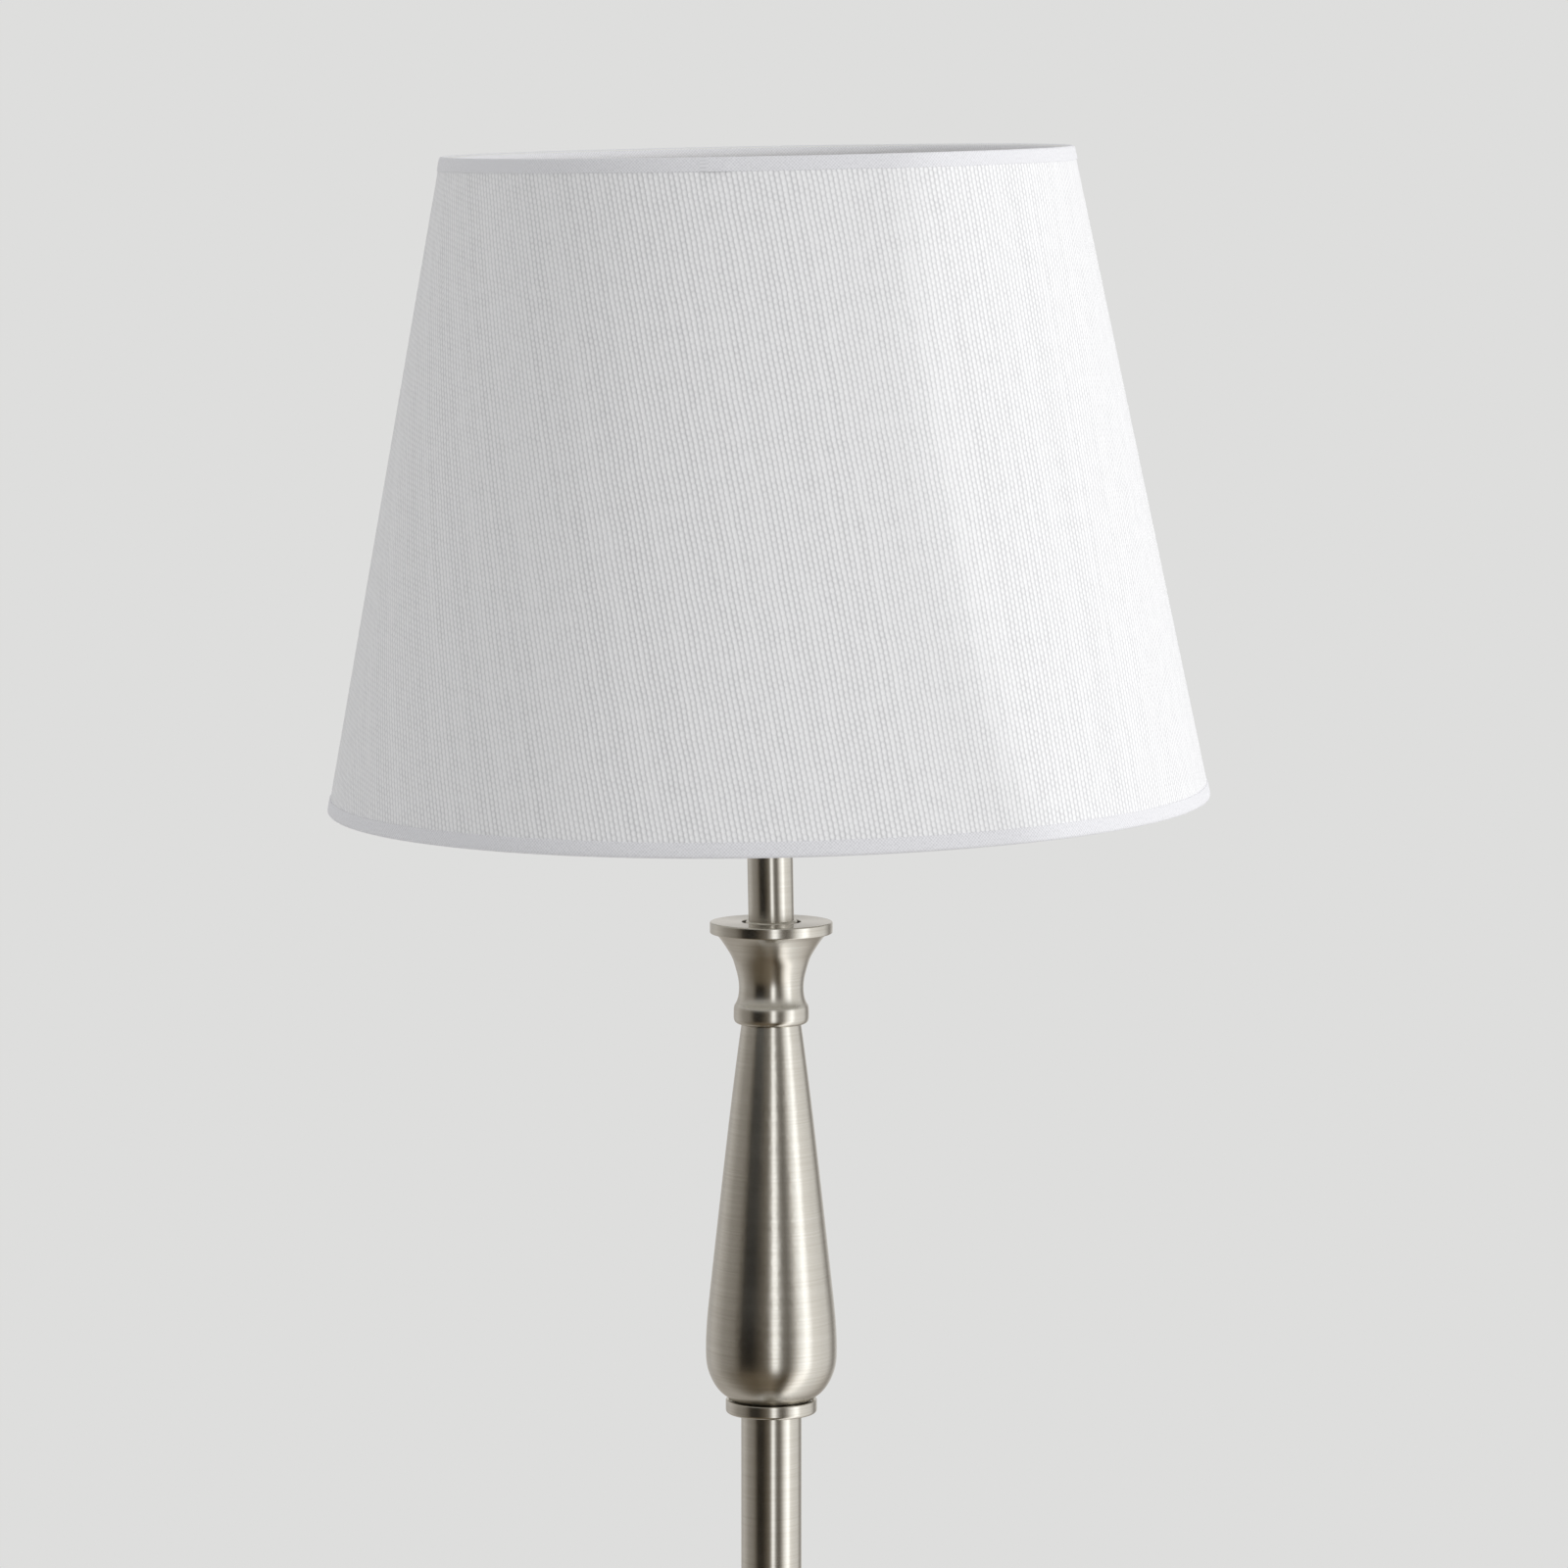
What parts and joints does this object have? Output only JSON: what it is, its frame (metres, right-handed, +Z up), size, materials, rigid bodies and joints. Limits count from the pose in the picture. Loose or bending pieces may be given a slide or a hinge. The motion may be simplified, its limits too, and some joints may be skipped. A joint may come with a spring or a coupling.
{
  "type": "floor lamp",
  "caption": "Column floor lamp: weighted round foot, tube pole, drop-shaped turned body, flared cup, and a tapered fabric shade on a screw lampholder.",
  "frame": {"origin": "on the floor, on the pole's centre line", "axes": "+Z up along the pole; +Y to the back, where the cord gland is; +X to the right seen from the front"},
  "size_m": [0.366, 0.3661, 1.5539],
  "materials": {
    "brushed_nickel": "brushed nickel plate, satin",
    "cast_iron": "as cast, painted black",
    "zinc_steel": "bright zinc plate",
    "felt": "pressed felt",
    "black_phenolic": "moulded",
    "porcelain": "glazed white porcelain",
    "brass": "rolled",
    "shade_linen": "woven cotton, laminated",
    "shade_tape": "fine cotton tape",
    "shade_liner": "white styrene sheet",
    "white_wire": "white powder coat",
    "opal_glass": "opal, satin",
    "bulb_cap_alloy": "rolled",
    "bulb_black_glass": "black glass insulator"
  },
  "bodies": {
    "stand": {"base_felt": "felt", "base_weight": "cast_iron", "base_cover": "brushed_nickel", "base_spacer": "zinc_steel", "base_flat_washer": "zinc_steel", "base_spring_washer": "zinc_steel", "base_locknut": "zinc_steel", "base_pipe": "zinc_steel", "cord_gland": "black_phenolic", "foot_bell": "brushed_nickel", "foot_ring": "brushed_nickel", "lower_pole": "brushed_nickel", "middle_pole": "brushed_nickel", "upper_pole": "brushed_nickel", "pole_bushes": "zinc_steel", "joint_rings": "brushed_nickel", "joint_nipples": "zinc_steel", "collar_ring": "brushed_nickel", "body_shell": "brushed_nickel", "candle_cup": "brushed_nickel", "cup_spacer": "zinc_steel", "stem_pipe": "zinc_steel", "stem_locknut": "zinc_steel", "neck_ring": "brushed_nickel", "neck_tube": "brushed_nickel", "neck_bush": "brushed_nickel", "holder_cap": "brushed_nickel", "cap_grub_screw": "zinc_steel", "holder_body": "brushed_nickel", "holder_core": "porcelain", "core_screws": "zinc_steel", "screw_shell": "brass", "centre_contact": "brass", "shade_clamp_ring": "black_phenolic"},
    "shade": {"fitter_ring": "white_wire", "bottom_wire": "white_wire", "top_wire": "white_wire", "shade_fabric": "shade_linen", "shade_liner": "shade_liner", "bottom_tape": "shade_tape", "top_tape": "shade_tape", "spoke_1": "white_wire", "spoke_2": "white_wire", "spoke_3": "white_wire"},
    "switch": {"switch_shaft": "zinc_steel", "switch_knob": "black_phenolic"},
    "bulb_foot": {"bulb_contact": "brass", "bulb_insulator": "bulb_black_glass"},
    "bulb": {"bulb_glass": "opal_glass", "bulb_cap": "bulb_cap_alloy"}
  },
  "joints": [
    {"name": "shade_turn", "type": "hinge", "parent": "stand", "child": "shade", "pos_m": [-0.00185, -0.00194, 1.33226], "axis": [-0.0183, -0.0192, 0.9996], "continuous": true},
    {"name": "switch_turn", "type": "hinge", "parent": "stand", "child": "switch", "pos_m": [-0.00161, -0.00169, 1.31902], "axis": [0.9998, -0.0004, 0.0183], "continuous": true},
    {"name": "bulb_lift", "type": "slide", "parent": "stand", "child": "bulb_foot", "axis": [-0.0183, -0.0192, 0.9996], "range_m": [0, 0.0254]},
    {"name": "bulb_turn", "type": "hinge", "parent": "bulb_foot", "child": "bulb", "pos_m": [-0.00173, -0.00181, 1.32567], "axis": [-0.0183, -0.0192, 0.9996], "range_deg": [0, 2520]}
  ],
  "couplings": [
    {"joint": "bulb_turn", "follows": "bulb_lift", "rad_per_m": 1731.4}
  ]
}
